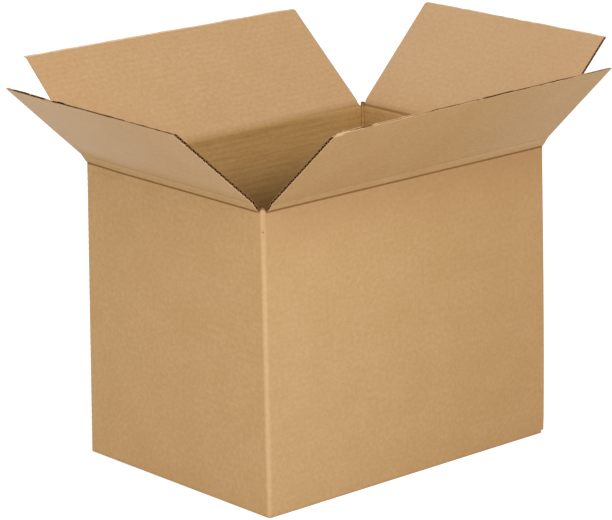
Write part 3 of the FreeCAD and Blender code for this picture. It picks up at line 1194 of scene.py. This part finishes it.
def kraft(name, base, outside):
    """A kraft liner: clouded fibres, faint flute lines, and the marks of its scores."""
    colours = settings().colours
    liner = Liner(name, base)
    shader = liner.shader
    if not outside:
        # Painted shade: below the creases the inner liner takes its shaded tone.
        below = liner.ramp(liner.above, 0.5, -2)
        liner.tone = shader.mix(below, liner.tone, linear(colours.inner_wall_in_shade))
    clouds = shader.noise(liner.place, 22.0)
    blobs = shader.noise(liner.place, 190.0, 3.0, 0.6)
    fibres = shader.noise(liner.place, 520.0, 3.0, 0.7, stretch=(1.0, 1.8, 1.0))
    shade = shader.ramp(fibres * 0.6 + blobs * 0.4, 0.3, 0.7)
    pale = shade * 0.26 + shader.ramp(clouds, 0.25, 0.75) * 0.08 - 0.09
    liner.tone = shader.mix(pale, liner.tone, linear(colours.pale_fibre_and_highlight))
    liner.tint("dark fibres", shader.ramp(blobs * 0.5 + fibres * 0.5, 0.6, 0.4), colours.dark_fibre_and_shade)
    flutes = "outer flutes" if outside else "inner flutes"
    liner.tint(flutes, shader.ramp(liner.flute, -1.0, 1.0), colours.dark_fibre_and_shade)
    if outside:
        outside_marks(liner, fibres)
    else:
        inside_marks(liner)
    torn_edge(liner, fibres, blobs)
    height = fibres * 0.5 + blobs * 0.4 + liner.flute * 0.1
    return shader.finish(liner.tone, 0.86 + shade * 0.08, height, 0.3, 0.2 * MM)


def cut_board(name, base, darker, shine):
    """Board where it is cut across, or the fluted sheet inside it."""
    shader = Shader(bpy.data.materials.new(name))
    place = shader.node("ShaderNodeTexCoord", output=2)
    fibres = shader.noise(place, 700.0, 3.0, 0.7)
    tone = shader.mix(shader.ramp(fibres, 0.35, 0.65), linear(base), linear(darker))
    return shader.finish(tone, 0.92 + fibres * 0.05, fibres, 0.4, 0.2 * MM, shine)


def board_finishes():
    """Outer liner, inner liner, cut edge and medium, made once and shared by every piece."""
    colours = settings().colours
    makers = {
        "kraft_outside": lambda name: kraft(name, colours.outside, True),
        "kraft_inside": lambda name: kraft(name, colours.inside, False),
        "kraft_cut": lambda name: cut_board(name, colours.cut, colours.dark_fibre_and_shade, 0.15),
        "kraft_medium": lambda name: cut_board(name, colours.medium, colours.medium, 0.0),
        "kraft_rim": lambda name: cut_board(name, colours.rim, colours.outside, 0.15),
        "kraft_flute": lambda name: cut_board(name, colours.flute, colours.cut, 0.0),
    }
    return [bpy.data.materials.get(name) or make(name) for name, make in makers.items()]


# Stage

# Where each lamp hangs and how wide it is
LAMPS = {
    "key": ((-0.72, -1.6, 1.35), 1.1),
    "fill": ((-2.4, -0.45, 1.4), 1.6),
}


class Stage(bpy.types.Operator):
    """Lays a plain floor, hangs soft lamps and stands the camera where the box is seen from"""
    bl_idname = "box.stage"
    bl_label = "Stage"

    def execute(self, context):
        sizes = settings().stage
        self.floor(sizes.floor)
        self.world(sizes.side_level, sizes.top_level)
        for name, (place, size) in LAMPS.items():
            self.lamp(name + "_lamp", place, size, getattr(sizes, name + "_power"))
        self.camera(sizes)
        context.scene.view_settings.view_transform = "Standard"
        return {"FINISHED"}

    def floor(self, width):
        half = width / 2
        mesh = bpy.data.meshes.new("floor")
        corners = [(-half, -half, 0), (half, -half, 0), (half, half, 0), (-half, half, 0)]
        mesh.from_pydata(corners, [], [(0, 1, 2, 3)])
        floor = bpy.data.objects.new("floor", mesh)
        bpy.context.scene.collection.objects.link(floor)
        shader = Shader(bpy.data.materials.new("white_floor"))
        plain = shader.node("ShaderNodeBsdfDiffuse", {}, {"Color": (0.85, 0.85, 0.85, 1)})
        shaded = shader.node("ShaderNodeBsdfDiffuse", {}, {"Color": (0.45, 0.45, 0.45, 1)})
        white = shader.node("ShaderNodeEmission", {}, {"Color": (1, 1, 1, 1), "Strength": 0.8})
        seen = shader.node("ShaderNodeAddShader", {}, {0: shaded, 1: white})
        camera_ray = shader.node("ShaderNodeLightPath", output=0)
        surface = shader.node("ShaderNodeMixShader", {}, {0: camera_ray, 1: plain, 2: seen})
        shader.node("ShaderNodeOutputMaterial", {}, {"Surface": surface})
        mesh.materials.append(shader.owner)

    def world(self, side_level, top_level):
        """An even light, weaker overhead than at the sides, which the camera sees as plain white."""
        shader = Shader(bpy.data.worlds.new("studio"))
        bpy.context.scene.world = shader.owner
        way = shader.node("ShaderNodeTexCoord", output=0)
        height = shader.node("ShaderNodeSeparateXYZ", {}, {0: way}, output=2)
        level = shader.ramp(height, 0.0, 1.0) * (top_level - side_level) + side_level
        even = shader.node("ShaderNodeBackground", {}, {"Color": (1, 1, 1, 1), "Strength": level})
        white = shader.node("ShaderNodeBackground", {}, {"Color": (1, 1, 1, 1), "Strength": 1.0})
        camera_ray = shader.node("ShaderNodeLightPath", output=0)
        surface = shader.node("ShaderNodeMixShader", {}, {0: camera_ray, 1: even, 2: white})
        shader.node("ShaderNodeOutputWorld", {}, {"Surface": surface})

    def lamp(self, name, place, size, power):
        light = bpy.data.lights.new(name, "AREA")
        light.shape = "DISK"
        light.size = size
        light.energy = power
        lamp = bpy.data.objects.new(name, light)
        lamp.location = place
        target = Vector((0, 0, CREASE / 2))
        lamp.rotation_euler = (target - Vector(place)).to_track_quat("-Z", "Y").to_euler()
        bpy.context.scene.collection.objects.link(lamp)

    def camera(self, sizes):
        data = bpy.data.cameras.new("camera")
        data.lens = sizes.camera_lens
        camera = bpy.data.objects.new("camera", data)
        camera.location = sizes.camera_place
        camera.rotation_euler = sizes.camera_turn
        bpy.context.scene.collection.objects.link(camera)
        bpy.context.scene.camera = camera


class BoxPanel(bpy.types.Panel):
    """Lists the steps and the sizes"""
    bl_idname = "VIEW3D_PT_open_box"
    bl_label = "Open shipping box"
    bl_space_type = "VIEW_3D"
    bl_region_type = "UI"
    bl_category = "Box"

    def draw(self, context):
        layout = self.layout
        for step in STEPS:
            layout.operator(step.bl_idname)
        for group in ("board", "folds", "flaps", "colours", "stage"):
            part = getattr(settings(), group)
            box = layout.box()
            box.label(text=group.capitalize())
            for name in part.__annotations__:
                box.prop(part, name)


STEPS = (FoldWalls, RawEnd, TopFlaps, Stage)
CLASSES = (BoardSizes, FoldSizes, FlapSizes, KraftColours, StageSizes, BoxSettings) + STEPS + (BoxPanel,)


def register():
    for made in CLASSES:
        bpy.utils.register_class(made)
    bpy.types.Scene.box_settings = PointerProperty(type=BoxSettings)


def unregister():
    del bpy.types.Scene.box_settings
    for made in reversed(CLASSES):
        bpy.utils.unregister_class(made)


def main():
    register()
    bpy.ops.box.fold_walls()
    bpy.ops.box.raw_end()
    bpy.ops.box.top_flaps()
    bpy.ops.box.stage()


if __name__ == "__main__":
    main()
